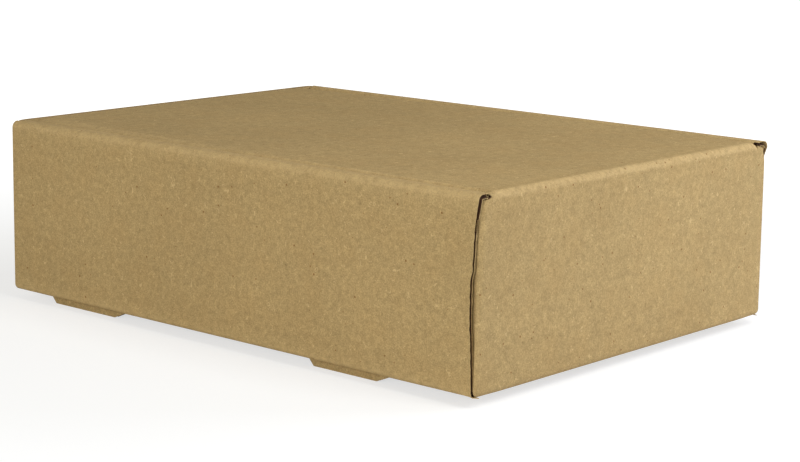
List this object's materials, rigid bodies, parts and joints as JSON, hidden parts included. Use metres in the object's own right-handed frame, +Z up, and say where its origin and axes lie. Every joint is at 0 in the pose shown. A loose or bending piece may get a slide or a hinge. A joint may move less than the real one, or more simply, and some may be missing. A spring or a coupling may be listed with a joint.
{
  "type": "folding carton",
  "caption": "Shallow kraft corrugated mailer carton, folded from one die-cut sheet, with rolled side walls, locking tabs and a hinged tuck-in lid.",
  "frame": {"origin": "under the middle of the closed carton, in the plane of the locking tabs' tips that it stands on", "axes": "+X along the long side towards the hinge wall, +Y across the carton, +Z up; the long rolled side walls face -Y and +Y and the tuck-front wall faces -X"},
  "size_m": [0.318, 0.231, 0.0953],
  "materials": {
    "kraft_board": "uncoated brown kraft liner, matt, with short fibres and specks"
  },
  "bodies": {
    "tray": {"tray": "kraft_board"},
    "lid": {"lid": "kraft_board"}
  },
  "joints": [
    {"name": "lid_hinge", "type": "hinge", "parent": "tray", "child": "lid", "pos_m": [0.159, 0, 0.0953], "axis": [0, 1, 0], "range_deg": [0, 180]}
  ]
}
